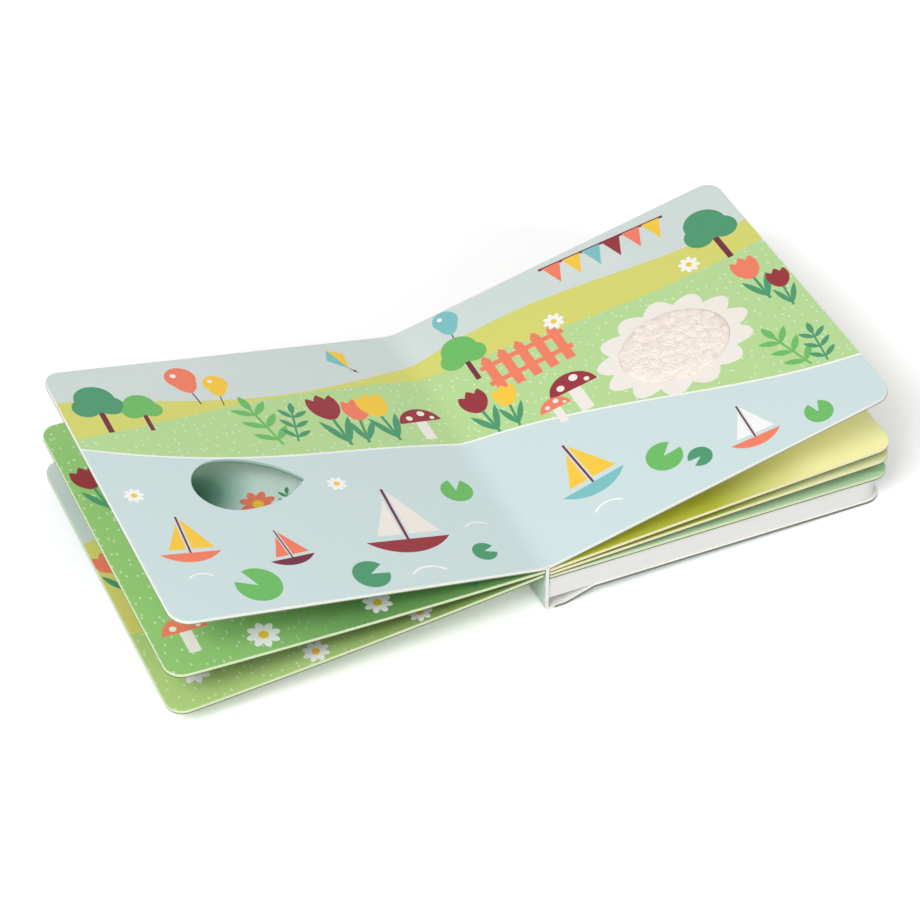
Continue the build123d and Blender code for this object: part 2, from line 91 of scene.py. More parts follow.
# %% Sums in a material
class Wire:
    """An output socket of a shader node. Arithmetic on it adds Math nodes to the same node tree."""

    def __init__(self, tree, socket=None):
        self.tree = tree
        self.socket = socket

    def node(self, kind, settings=None, sockets=None, output=0):
        """Adds any node: first its settings, then the values or links of its sockets, by name or number."""
        made = self.tree.nodes.new(kind)
        for name, value in (settings or {}).items():
            setattr(made, name, value)
        for key, value in (sockets or {}).items():
            if isinstance(value, Wire):
                self.tree.links.new(value.socket, made.inputs[key])
            else:
                made.inputs[key].default_value = value
        return Wire(self.tree, made.outputs[output])

    def other(self, output):
        """Another output of the same node."""
        return Wire(self.tree, self.socket.node.outputs[output])

    def math(self, operation, *values, clamp=False):
        """A Math node on this wire and the further values that its operation takes."""
        settings = {"operation": operation, "use_clamp": clamp}
        return self.node("ShaderNodeMath", settings, dict(enumerate((self, *values))))

    def __add__(self, other):
        return self.math("ADD", other)

    def __sub__(self, other):
        return self.math("SUBTRACT", other)

    def __rsub__(self, other):
        return self.math("MULTIPLY_ADD", -1.0, other)

    def __mul__(self, other):
        return self.math("MULTIPLY", other)

    def __neg__(self):
        return self.math("MULTIPLY", -1.0)

    def __abs__(self):
        return self.math("ABSOLUTE")

    __radd__ = __add__
    __rmul__ = __mul__


print("Wire:", Wire.__doc__)


# %% Colours and shaders
def ink(red, green, blue):
    """A colour as a screen shows it, 0 to 255, turned into the linear light that shaders count in."""
    share = np.array([red, green, blue]) / 255
    linear = np.where(share <= 0.04045, share / 12.92, ((share + 0.055) / 1.055) ** 2.4)
    return (*linear.tolist(), 1.0)


def new_material(name):
    """A material with one Principled shader, that shader, and a Wire to add nodes with."""
    material = bpy.data.materials.new(name)
    material.use_nodes = True
    tree = material.node_tree
    shader = next(node for node in tree.nodes if node.type == "BSDF_PRINCIPLED")
    return material, shader, Wire(tree)


def feed(shader, socket, wire):
    """Links a wire to one of a shader's sockets."""
    wire.tree.links.new(wire.socket, shader.inputs[socket])


def mixed(under, over, mask):
    """One colour laid over another where the mask is 1."""
    return mask.node("ShaderNodeMix", {"data_type": "RGBA"}, {0: mask, 6: under, 7: over}, 2)


print("ink(255, 255, 255) is", ink(255, 255, 255))


# %% Places and grain
def object_spot(wire):
    """A point of the surface in its object's own coordinates, in metres."""
    return wire.node("ShaderNodeTexCoord").other("Object")


def distance(spot):
    """How far a spot is from the origin."""
    return spot.node("ShaderNodeVectorMath", {"operation": "LENGTH"}, {0: spot}, 1)


def noise(wire, vector, scale, detail=2.0):
    """Mottled values from 0 to 1, about 0.5, whose size follows from scale."""
    return wire.node("ShaderNodeTexNoise", None, {"Vector": vector, "Scale": scale, "Detail": detail})


def bump(shader, height, strength, distance):
    """Tilts the shading by a height field, as a fine grain that is too small to model."""
    sockets = {"Height": height, "Strength": strength, "Distance": distance}
    feed(shader, "Normal", height.node("ShaderNodeBump", None, sockets))


print("helpers:", [helper.__name__ for helper in (object_spot, distance, noise, bump)])

# %% [markdown]
# ## Floor and light
# The floor is a plain white sheet that keeps the book's shadow. It glows a little for the camera alone, and
# more so away from the book, where it meets the white background without a line. The light is a bright room
# all round, which is the world's colour, a softbox on the left that shines through the die-cut window, and
# a weaker one in front on the right, for the edges that face the camera. Lamps alone would leave the gaps
# between the leaves black, where a studio's light creeps in from every side.

# %% Floor
floor_half = 4.0
floor_grey, floor_white = (0.78, 0.78, 0.78, 1), (1.0, 1.0, 1.0, 1)
black = (0, 0, 0, 1)
glow_near, glow_start, glow_rise = 0.18, 0.205, 3.0
floor_corners = [(-floor_half, -floor_half, 0), (floor_half, -floor_half, 0),
                 (floor_half, floor_half, 0), (-floor_half, floor_half, 0)]
floor_mesh = bpy.data.meshes.new("floor")
floor_mesh.from_pydata(floor_corners, [], [(0, 1, 2, 3)])
floor = linked("floor", floor_mesh)

floor_material, floor_shader, floor_wire = new_material("pale_floor")
floor_shader.inputs["Roughness"].default_value = 0.9
floor_shader.inputs["Specular IOR Level"].default_value = 0.0
floor_shader.inputs["Emission Strength"].default_value = 1.0
seen_by_camera = floor_wire.node("ShaderNodeLightPath")
feed(floor_shader, "Base Color", mixed(floor_grey, floor_white, seen_by_camera))
glow = (distance(object_spot(floor_wire)) - glow_start) * glow_rise + glow_near
glow = glow.math("MAXIMUM", glow_near).math("MINIMUM", 1.0)
feed(floor_shader, "Emission Color", mixed(black, floor_white, glow * seen_by_camera))
floor_mesh.materials.append(floor_material)
print("floor of", 2 * floor_half, "m")

# %% Light
room_level = 0.46
world = bpy.data.worlds.new("bright_room")
world.use_nodes = True
bpy.context.scene.world = world
room = world.node_tree.nodes["Background"]
room.inputs["Color"].default_value = (1, 1, 1, 1)
path = Wire(world.node_tree).node("ShaderNodeLightPath")
shown = path.math("MAXIMUM", path.other("Is Glossy Ray"))
shown = shown.math("MAXIMUM", path.other("Is Transmission Ray"))
feed(room, "Strength", shown * (1 - room_level) + room_level)


def softbox(name, place, size, power):
    """A rectangular lamp at a place, turned to shine on the middle of the book."""
    data = bpy.data.lights.new(name, "AREA")
    data.shape = "RECTANGLE"
    data.size, data.size_y = size
    data.energy = power
    lamp = linked(name, data)
    lamp.location = place
    lamp.rotation_euler = (atan2(hypot(place[0], place[1]), place[2]), 0, atan2(place[0], -place[1]))


softbox("key_softbox", (-1.20, -0.80, 1.50), (1.0, 0.8), 26.0)
softbox("front_softbox", (0.45, -1.90, 1.00), (1.4, 0.7), 8.0)
print("room at", room_level, "and two softboxes")

# %% [markdown]
# ## The shape of a board
# A leaf of a board book is a stiff sheet 2 mm thick with rounded free corners. A cube with a bevel could
# stand for it, but the real boards bow a little, two of them bend into the gutter, one has a die-cut window
# and one a recess. So each board is worked out as rings round its outline: on top from the middle of the
# sheet (or the edge of its window) out to the rim, round the rim, and back underneath. A ring is kept in
# page coordinates, s from the gutter to the free edge and t along the spine, and a last step lifts it.

# %% Sizes that the boards share
page_low, page_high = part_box("pages")
page_width = 0.185
page_height = page_high.y - page_low.y
page_half = page_height / 2
page_corner = 0.009
board = 0.002
rim_round = 0.00025
left_root, right_root = -0.0035, -0.0007
leaf_pitch = 0.0021
sixth_level = 0.02031
fifth_level = sixth_level + leaf_pitch
fourth_level = fifth_level + leaf_pitch
third_level = fourth_level + leaf_pitch
window_centre = np.array([0.1245, -0.005])
window_radius = 0.0185
window_point = 0.0365
window_turn = radians(4)
patch_centre = np.array([0.114, -0.001])
patch_half = np.array([0.0285, 0.0225])
patch_recess = 0.0009
print("page", page_width, "by", round(page_height, 4))


# %% Outlines on the page
near_share, near_points, far_points = 0.055, 11, 44
upper_points, lower_points, free_points, corner_points = 35, 29, 55, 10


def page_outline(start, inset):
    """Points (s, t) round a page, moved in by inset everywhere but at the gutter, where s is start.

    They run down the gutter, along the near edge, round a quarter circle, up the free edge, round another
    quarter circle and back along the far edge. The first centimetre from the gutter has close points, and
    one gutter point lies where the window's tip points.
    """
    reach = page_width - page_corner
    near, far = np.linspace(0, near_share, near_points), np.linspace(near_share, 1, far_points)
    share = np.concatenate([near, far[1:]])
    along = start + share * (reach - start)
    ahead = window_centre[1] - tan(window_turn) * (window_centre[0] - start)
    upper = np.linspace(page_half - inset, ahead, upper_points)
    lower = np.linspace(ahead, -page_half + inset, lower_points)[1:-1]
    gutter = np.concatenate([upper, lower])
    turn = np.linspace(0, pi / 2, corner_points)[1:-1]
    radius = page_corner - inset
    centre = page_half - page_corner
    free = np.linspace(-centre, centre, free_points)
    s = [np.full(gutter.size, start), along, reach + radius * np.sin(turn),
         np.full(free.size, page_width - inset), reach + radius * np.cos(turn), along[:0:-1]]
    t = [gutter, np.full(along.size, -page_half + inset), -centre - radius * np.cos(turn),
         free, centre + radius * np.sin(turn), np.full(along.size - 1, page_half - inset)]
    return np.stack([np.concatenate(s), np.concatenate(t)], axis=1)


print("points round a page:", len(page_outline(0, 0)))


# %% Window and recess
def towards(outline, centre):
    """Angle of each outline point seen from a centre."""
    away = outline - centre
    return np.arctan2(away[:, 1], away[:, 0])


def polar(reach, angle):
    """Points at a reach and an angle from the origin."""
    return np.stack([reach * np.cos(angle), reach * np.sin(angle)], axis=-1)


def window_edge(outline):
    """The window's edge on the way from its centre to each outline point.

    Away from the gutter it is a circle. Towards the gutter two larger circles, tangent to the first at its
    top and foot, meet in a point: the reach is -k |sin a| + sqrt(R^2 - k^2 cos^2 a), with k = R - r. The
    whole window is turned a little, so that its point drops towards the near edge.
    """
    angle = towards(outline, window_centre)
    turned = angle - window_turn
    arc = (window_radius**2 + window_point**2) / (2 * window_radius)
    drop = arc - window_radius
    pointed = np.sqrt(arc**2 - (drop * np.cos(turned))**2) - drop * np.abs(np.sin(turned))
    reach = np.where(np.cos(turned) > 0, window_radius, pointed)
    return window_centre + polar(reach, angle)


def patch_edge(outline):
    """The oval recess of the touch patch, seen from its centre: a b / sqrt((b cos)^2 + (a sin)^2)."""
    angle = towards(outline, patch_centre)
    a, b = patch_half
    reach = a * b / np.sqrt((b * np.cos(angle))**2 + (a * np.sin(angle))**2)
    return patch_centre + polar(reach, angle)


window_size = np.ptp(window_edge(page_outline(0, 0)), axis=0)
print("window", np.round(window_size, 4), "recess", 2 * patch_half)


# %% Bowed boards
def bowed(root, side, lift, bow):
    """Map of a bowed board: its underside leaves the root at lift - bow / 2 and turns by bow on its way.

    The map takes s and a share of the thickness, 0 underneath and 1 on top, to x and z.
    """
    start = radians(lift - bow / 2)
    turn = radians(bow) / page_width

    def place(s, share):
        angle = start + turn * s
        run = (np.sin(angle) - sin(start)) / turn if bow else s * cos(start)
        rise = (cos(start) - np.cos(angle)) / turn if bow else s * sin(start)
        height = share * board
        return root[0] + side * (run - height * np.sin(angle)), root[1] + rise + height * np.cos(angle)

    return place, 0.0


flat_place, _ = bowed((0, 0), 1, 0, 0)
print("free edge of a flat board:", np.round(flat_place(page_width, 0.0), 4))

# %% Boards of the top spread
left_lift, right_lift = 12.6, 12.9
gutter_bend = 0.030
left_up = np.array([sin(radians(left_lift)), cos(radians(left_lift))])
right_up = np.array([-sin(radians(right_lift)), cos(radians(right_lift))])
left_way = np.array([-left_up[1], left_up[0]])
right_way = np.array([right_up[1], -right_up[0]])
left_top = np.array([left_root, third_level]) + board * left_up
right_top = np.array([right_root, third_level]) + board * right_up
left_back, right_back = np.linalg.solve(np.stack([left_way, -right_way], axis=1), right_top - left_top)
valley = left_top + left_back * left_way
tangent = gutter_bend * tan(radians(left_lift + right_lift) / 2)
bend_centre = valley + tangent * left_way + gutter_bend * left_up


def spread(side):
    """Map of one board of the top spread, straight, but rounded into the gutter on its upper face.

    Up to the tangent length from the valley the upper face lies on a circle about bend_centre, and from
    there on along the board's own line. The underside is straight all the way.
    """
    root_x, lift, way, back = ((left_root, left_lift, left_way, left_back) if side < 0
                               else (right_root, right_lift, right_way, right_back))
    angle = radians(lift)

    def place(s, share):
        beyond = s - back
        beta = angle * np.clip(beyond / tangent, 0, 1)
        bent = beyond < tangent
        bend_x = bend_centre[0] + side * gutter_bend * np.sin(beta)
        bend_z = bend_centre[1] - gutter_bend * np.cos(beta)
        top_x = np.where(bent, bend_x, valley[0] + beyond * way[0])
        top_z = np.where(bent, bend_z, valley[1] + beyond * way[1])
        low_x, low_z = root_x + side * s * cos(angle), third_level + s * sin(angle)
        return low_x + share * (top_x - low_x), low_z + share * (top_z - low_z)

    return place, back


print("valley at", valley, "bend from", round(tangent, 5), "m")


# %% Rings of a board
print_top, cut_edge, print_under, hole_wall = 0, 1, 2, 3
middle_share = 0.06
middle_steps = np.array([0.16, 0.32, 0.48, 0.62, 0.74, 0.83, 0.89, 0.93, 0.95, 0.965, 0.975, 0.985, 0.993])
recess_steps = [0.1, 0.6, 1.0]
recess_under_steps = [0.5, 0.1]
recess_lip = 0.00012


def rim_rings(start):
    """Rings round the rim of a board: a quarter circle down from the top, the wall, and one below it."""
    turn = np.linspace(0, pi / 2, 4)
    inset = rim_round * (1 - np.sin(turn))
    share = 1 - rim_round * (1 - np.cos(turn)) / board
    upper = [(page_outline(start, i), f) for i, f in zip(inset, share)]
    lower = [(page_outline(0.0, i), 1 - f) for i, f in zip(inset[::-1], share[::-1])]
    return upper + lower


def between(inner, outer, steps):
    """Rings at the given shares of the way from an inner line to an outer one."""
    return [inner + step * (outer - inner) for step in steps]


def board_rings(start, hub=None, recess=0.0):
    """All the rings of a board from the middle of its top to the middle of its underside.

    Each has its points on the page, its share of the thickness and the role of the faces that lead to it.
    hub gives the inner line of a window (recess 0) or of a recess; without it the rings shrink to a middle.
    """
    rims = rim_rings(start)
    top_rim, low_rim = rims[0][0], rims[-1][0]
    middle = np.array([[page_width / 2, 0.0]])
    inner = hub(top_rim) if hub else middle + middle_share * (top_rim - middle)
    inner_low = hub(low_rim) if hub else middle + middle_share * (low_rim - middle)
    rings = [(inner, 1.0, print_top)]
    if recess:
        away = inner - patch_centre
        lip = inner + recess_lip * away / np.abs(away).max()
        deep = 1 - recess / board
        rings = [(ring, deep, cut_edge) for ring in between(patch_centre, inner, recess_steps)]
        rings += [(inner, 1.0, cut_edge), (lip, 1.0, cut_edge)]
    rings += [(ring, 1.0, print_top) for ring in between(inner, top_rim, middle_steps)]
    rings += [(ring, share, print_top if k == 0 else cut_edge) for k, (ring, share) in enumerate(rims)]
    rings += [(ring, 0.0, print_under) for ring in between(inner_low, low_rim, middle_steps[::-1])]
    rings.append((inner_low, 0.0, print_under))
    if recess:
        under = between(patch_centre, inner_low, recess_under_steps)
        rings += [(ring, 0.0, print_under) for ring in under]
    return rings


print("rings of a plain board:", len(board_rings(0.0)))


# %% A board as a mesh
sharp_angle = radians(32)


def ring_quads(index):
    """Quads between neighbouring rows of a table of point numbers, whose rows close round."""
    following = np.roll(index, -1, -1)
    return np.stack([index[:-1], index[1:], following[1:], following[:-1]], axis=-1)


def board_mesh(name, place, start, side, hub=None, recess=0.0):
    """A board as one closed mesh of rings, lifted into space by its map.

    With a window the last ring joins the first one, so the whole board is a flattened ring itself.
    Otherwise a face closes each end. The attribute share keeps every point's share of the thickness.
    """
    rings = board_rings(start, hub, recess)
    size = len(rings[0][0])
    page = np.concatenate([ring for ring, share, role in rings])
    share = np.repeat([share for ring, share, role in rings], size)
    x, z = place(page[:, 0], share)
    index = np.arange(len(page)).reshape(-1, size)
    roles = [role for ring, share, role in rings[1:]]
    caps, cap_roles = [], []
    if hub and not recess:
        index = np.concatenate([index, index[:1]])
        roles.append(hole_wall)
    else:
        caps = [index[0][::side].tolist(), index[-1][::-side].tolist()]
        cap_roles = [cut_edge if recess else print_top, print_under]

    mesh = bpy.data.meshes.new(name)
    points = np.stack([x, page[:, 1], z], axis=1)
    mesh.from_pydata(points.tolist(), [], ring_quads(index).reshape(-1, 4)[:, ::side].tolist() + caps)
    face_roles = np.concatenate([np.repeat(roles, size), cap_roles]).astype(np.int32)
    mesh.polygons.foreach_set("material_index", face_roles)
    mesh.attributes.new("share", "FLOAT", "POINT").data.foreach_set("value", share.astype(np.float32))
    corner = np.zeros(len(mesh.loops), np.int32)
    mesh.loops.foreach_get("vertex_index", corner)
    uv = page / (page_width, page_height) + (0, 0.5)
    mesh.uv_layers.new(name="page").uv.foreach_set("vector", uv[corner].astype(np.float32).ravel())
    mesh.shade_smooth()
    mesh.set_sharp_from_angle(angle=sharp_angle)
    print(name, len(mesh.polygons), "faces")
    return linked(name, mesh)


# %% [markdown]
# ## Six leaves and a cover
# Each board has its own map into space. The two boards of the top spread share the valley at the gutter,
# and the others bow by a degree or two, as laminated board does. The leaves stand for one bound solid of
# the CAD model and ride on the book, and the cover rides on its own body, because it turns on its crease.

# %% Leaves and cover
hinge_x, hinge_z = -0.0043, 0.02321
cover_lift, cover_bow = -3.9, 2.9
cover_start = radians(cover_lift - cover_bow / 2)
cover_root = (hinge_x - board / 2 * sin(cover_start), hinge_z - board / 2 * cos(cover_start))
leaves = {
    "first_leaf": board_mesh("first_leaf", *bowed((left_root, fourth_level), -1, 2.9, 2.2), -1),
    "second_leaf": board_mesh("second_leaf", *spread(-1), -1, window_edge),
    "third_leaf": board_mesh("third_leaf", *spread(1), 1, patch_edge, patch_recess),
    "fourth_leaf": board_mesh("fourth_leaf", *bowed((right_root, fourth_level), 1, 2.5, -1.0), 1),
    "fifth_leaf": board_mesh("fifth_leaf", *bowed((right_root, fifth_level), 1, 0.7, -1.0), 1),
    "sixth_leaf": board_mesh("sixth_leaf", *bowed((right_root, sixth_level), 1, -1.8, 0), 1),
}
for leaf in leaves.values():
    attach(leaf, "book")
    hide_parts("pages")
cover = board_mesh("cover_board", *bowed(cover_root, -1, cover_lift, cover_bow), -1)
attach(cover, "front_cover")
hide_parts("front_cover")
print("boards:", len(leaves) + 1)

# %% [markdown]
# ## Shapes for a print
# Children's books are printed in flat fields of colour with simple shapes on them. A shape could be an
# image, but sums stay sharp at any size: a field tells how far inside a shape a point lies, positive within
# it, and the print turns it into a mask. Shapes are joined by the larger field and cut by the smaller one.
# On the page a point counts in millimetres, and inside a motif in shares of the motif's size.


# %% Joining and placing shapes
def either(first, *others):
    """Inside any of the shapes: the largest of their fields."""
    for other in others:
        first = first.math("MAXIMUM", other)
    return first


def both(first, *others):
    """Inside all of the shapes: the smallest of their fields."""
    for other in others:
        first = first.math("MINIMUM", other)
    return first


def placed(spot, x, y, size=(1, 1), turn=0.0):
    """The same spot in the coordinates of something at (x, y), turned by degrees and scaled."""
    sockets = {"Vector": spot, "Location": (x, y, 0), "Rotation": (0, 0, radians(turn)),
               "Scale": (*size, 1)}
    return spot.node("ShaderNodeMapping", {"vector_type": "TEXTURE"}, sockets)


def coordinates(spot):
    """The two coordinates of a spot, as numbers."""
    x = spot.node("ShaderNodeSeparateXYZ", None, {0: spot})
    return x, x.other(1)


print("a shape is placed and joined by:", [tool.__name__ for tool in (either, both, placed)])


# %% Simple shapes
def disc(spot, x, y, radius):
    """Round shape: its radius less the distance from its centre."""
    return radius - spot.node("ShaderNodeVectorMath", {"operation": "DISTANCE"}, {0: spot, 1: (x, y, 0)}, 1)


def half_plane(spot, start, end):
    """Everything to the left of the line from start to end."""
    length = dist(start, end)
    normal = ((start[1] - end[1]) / length, (end[0] - start[0]) / length)
    along = spot.node("ShaderNodeVectorMath", {"operation": "DOT_PRODUCT"}, {0: spot, 1: (*normal, 0)}, 1)
    return along - (start[0] * normal[0] + start[1] * normal[1])


def polygon(spot, *corners):
    """Inside all the sides of a convex outline, whose corners run anticlockwise."""
    return both(*[half_plane(spot, a, b) for a, b in zip(corners, corners[1:] + corners[:1])])


def blade(spot, start, end, width):
    """A leaf or petal between two points: where two equal circles overlap."""
    half = dist(start, end) / 2
    radius = (half**2 + (width / 2)**2) / width
    off = (radius - width / 2) / (2 * half)
    x, y = (start[0] + end[0]) / 2, (start[1] + end[1]) / 2
    dx, dy = (start[1] - end[1]) * off, (end[0] - start[0]) * off
    return both(disc(spot, x + dx, y + dy, radius), disc(spot, x - dx, y - dy, radius))


def stroke(spot, start, end, half_width):
    """A straight stroke between two points."""
    angle = np.degrees(np.arctan2(end[1] - start[1], end[0] - start[0]))
    half = dist(start, end) / 2
    x, y = coordinates(placed(spot, (start[0] + end[0]) / 2, (start[1] + end[1]) / 2, turn=angle))
    return both(half - abs(x), half_width - abs(y))


def mirrored(spot):
    """The spot folded over its upright axis, so that one half of a shape draws both."""
    x, y = coordinates(spot)
    return spot.node("ShaderNodeCombineXYZ", None, {0: abs(x), 1: y})


def lobed(spot, start, depth, petals):
    """Petals round a middle: they reach start + depth |cos(n a / 2)| at the angle a, for n petals."""
    x, y = coordinates(spot)
    lobes = abs((y.math("ARCTAN2", x) * (petals / 2)).math("COSINE"))
    return lobes * depth + start - distance(spot)


print("shapes:", [shape.__name__ for shape in (disc, half_plane, polygon, blade, stroke, lobed)])

# %% [markdown]
# ## Motifs
# The motifs are what any garden picture has: flowers, toadstools, round trees, balloons and toy boats. Each
# one is a function that gives its shapes from the back to the front, a field and an ink for each.

# %% Inks
sky_blue = ink(212, 223, 220)
meadow = ink(184, 220, 150)
straw = ink(217, 217, 112)
water = ink(208, 226, 226)
leaf_green = ink(108, 188, 98)
deep_green = ink(72, 152, 108)
dark_red = ink(150, 40, 52)
plum = ink(112, 30, 52)
coral = ink(244, 128, 98)
yellow = ink(250, 204, 62)
teal = ink(124, 194, 196)
puddle = ink(214, 236, 230)
# The two pool greens are printed on undersides, and also paint the shadow inside the window's puddle.
pool_and_painted_shadow = ink(126, 178, 160)
deep_pool_and_painted_shadow = ink(30, 84, 66)
cream = ink(244, 238, 230)
white = ink(250, 250, 248)
lime = ink(252, 250, 186)
grass = ink(150, 202, 118)
mint = ink(206, 228, 216)
print("water ink in linear light:", water)


# %% Flowers, toadstools and trees
def daisy(spot, petal, heart):
    """Eight petals round a heart."""
    return [(lobed(spot, 0.32, 0.18, 8), petal), (disc(spot, 0, 0, 0.15), heart)]


def tulip(spot, petal):
    """A stalk with a leaf on either side, and a cup of three blades."""
    folded = mirrored(spot)
    stalk = either(stroke(spot, (0, -0.5), (0, 0.1), 0.022), blade(folded, (0, -0.46), (0.2, 0.02), 0.1))
    cup = either(blade(folded, (0.03, 0.0), (0.16, 0.46), 0.2), blade(spot, (0, 0.0), (0, 0.5), 0.22))
    return [(stalk, deep_green), (cup, petal)]


def toadstool(spot, cap):
    """A stem cut from a disc, half a disc as its cap, and three dots."""
    stem = both(disc(spot, 0, -0.15, 0.4), 0.12 - abs(coordinates(spot)[0]))
    top = both(disc(spot, 0, -0.02, 0.46), half_plane(spot, (-1, 0.03), (1, 0.03)))
    dots = either(disc(spot, -0.2, 0.17, 0.07), disc(spot, 0.1, 0.28, 0.08), disc(spot, 0.29, 0.12, 0.05))
    return [(stem, cream), (top, cap), (dots, cream)]


def round_tree(spot, crown):
    """A trunk and a crown of three discs."""
    trunk = stroke(spot, (0, -0.5), (0, 0.0), 0.04)
    top = either(disc(spot, 0, 0.2, 0.28), disc(mirrored(spot), 0.17, 0.05, 0.19))
    return [(trunk, plum), (top, crown)]


def sprig(spot, colour):
    """A stem with three pairs of small leaves and one at its tip."""
    folded = mirrored(spot)
    pairs = [blade(folded, (0, low), (0.24, low + 0.2), 0.1) for low in (-0.4, -0.15, 0.1)]
    tip = blade(spot, (0, 0.2), (0, 0.5), 0.11)
    return [(either(stroke(spot, (0, -0.5), (0, 0.3), 0.018), tip, *pairs), colour)]


def lily_pad(spot, colour):
    """A disc with a notch."""
    notch = polygon(spot, (0, 0.02), (0.5, -0.22), (0.6, 0.2))
    return [(both(disc(spot, 0, 0, 0.5), -notch), colour)]


print("plants:", [motif.__name__ for motif in (daisy, tulip, toadstool, round_tree, sprig, lily_pad)])


# %% Boats, balloons and other playthings
def toy_boat(spot, sail, hull):
    """A mast, two sails that leave it free, and the lower part of a disc as the hull."""
    mast = stroke(spot, (0, -0.22), (0, 0.5), 0.014)
    body = both(disc(spot, 0, 0.16, 0.54), half_plane(spot, (1, -0.2), (-1, -0.2)))
    sails = either(polygon(spot, (0.035, -0.13), (0.34, -0.13), (0.035, 0.46)),
                   polygon(spot, (-0.035, -0.13), (-0.035, 0.36), (-0.27, -0.13)))
    return [(mast, plum), (sails, sail), (body, hull)]


def balloon(spot, colour):
    """A disc that tapers into a blade below, a cord, and a spot of shine."""
    bag = either(disc(spot, 0, 0.22, 0.26), blade(spot, (0, -0.2), (0, 0.4), 0.4))
    cord = stroke(spot, (0, -0.5), (0, -0.18), 0.012)
    return [(cord, plum), (bag, colour), (disc(spot, -0.09, 0.3, 0.05), white)]


def bunting(spot, *colours):
    """A cord with small flags of several colours."""
    flags = [(polygon(spot, (x + 0.07, 0.1), (x - 0.07, 0.1), (x, -0.1)), colour)
             for x, colour in zip(np.linspace(-0.4, 0.4, len(colours)), colours)]
    return [(stroke(spot, (-0.5, 0.1), (0.5, 0.1), 0.012), plum), *flags]


def kite(spot, first, second):
    """Four corners in two colours, and a tail with a bow."""
    whole = polygon(spot, (0, -0.3), (0.24, 0.14), (0, 0.42), (-0.24, 0.14))
    tail = either(stroke(spot, (0, -0.3), (0.08, -0.5), 0.012), disc(spot, 0.05, -0.42, 0.035))
    return [(tail, plum), (whole, first), (both(whole, coordinates(spot)[0]), second)]


def fence(spot, colour):
    """Pickets repeated by a folded coordinate, pointed where the fold comes in, on two rails."""
    x, y = coordinates(spot)
    wave = x.math("PINGPONG", 0.1)
    pickets = both(0.055 - wave, 0.5 - abs(x), y + 0.3, 0.3 - wave * 1.4 - y)
    rails = both(0.5 - abs(x), 0.035 - abs(abs(y) - 0.13))
    return [(either(pickets, rails), colour)]


def ripple(spot, colour):
    """The upper part of a thin ring."""
    arc = 0.025 - abs(disc(spot, 0, -0.35, 0.5))
    return [(both(arc, half_plane(spot, (-1, 0.0), (1, 0.0))), colour)]


print("playthings:", [motif.__name__ for motif in (toy_boat, balloon, bunting, kite, fence, ripple)])

# %% [markdown]
# ## Pages
# A page is a field for the sky, a few rolling lines for hills and water, a scatter of light blades of grass
# and then its motifs. The function below reads a page from a short list, so that every page differs without
# repeating code. A thin film makes the print satin, the paper under it is a little mottled, and the rim is
# rubbed pale where fingers turn the leaf.

# %% Where a point is on the page
picture_size = (page_width * 1000, page_height * 1000)
edge_blur = 0.22
blade_cell, blade_turn = (4.6, 8.0), 12
blade_reach, blade_crisp, blade_share = 0.12, 30.0, 0.45


def page_spot(wire, side):
    """Page coordinates in millimetres: across from the gutter, to the right if side is 1, and up."""
    uv = wire.node("ShaderNodeUVMap", {"uv_map": "page"})
    sockets = {0: uv, 1: (side * picture_size[0], picture_size[1], 0), 2: (0, -picture_size[1] / 2, 0)}
    return wire.node("ShaderNodeVectorMath", {"operation": "MULTIPLY_ADD"}, sockets)


def mask_of(field, size=1.0):
    """1 inside a shape and 0 outside it, with an edge as soft as print."""
    return field.math("MULTIPLY_ADD", size / edge_blur, 0.5, clamp=True)


def rolling(spot, level, height, length, phase, slope=0.0):
    """Field of the ground below a rolling line: level + slope x + height sin(x / length + phase) - y."""
    x, y = coordinates(spot)
    wave = (x * (1 / length) + phase).math("SINE")
    return wave * height + (x * slope + level) - y


def speckled(colour, spot, light, mask):
    """Short light blades scattered over a field: the middles of stretched cells."""
    sockets = {"Vector": placed(spot, 0, 0, blade_cell, blade_turn), "Scale": 1.0}
    inside = blade_reach - spot.node("ShaderNodeTexVoronoi", {"voronoi_dimensions": "2D"}, sockets)
    blades = inside.math("MULTIPLY", blade_crisp, clamp=True)
    return mixed(colour, light, blades * mask * blade_share)


print("a page is", [round(length, 1) for length in picture_size], "mm")

# %% Printing a page
mottle_scale, mottle_share = 0.02, 0.5
wear_scale, wear_reach, wear_crisp, wear_share = 0.6, 1.3, 1.2, 0.7
worn_white = ink(240, 242, 236)
fibre_scale, fibre_share = 2.2, 0.10
film_rough, film_grain, film_gloss = 0.40, 0.12, 0.35
grain_scale, grain_strength, grain_height = 1.1, 0.10, 0.0002


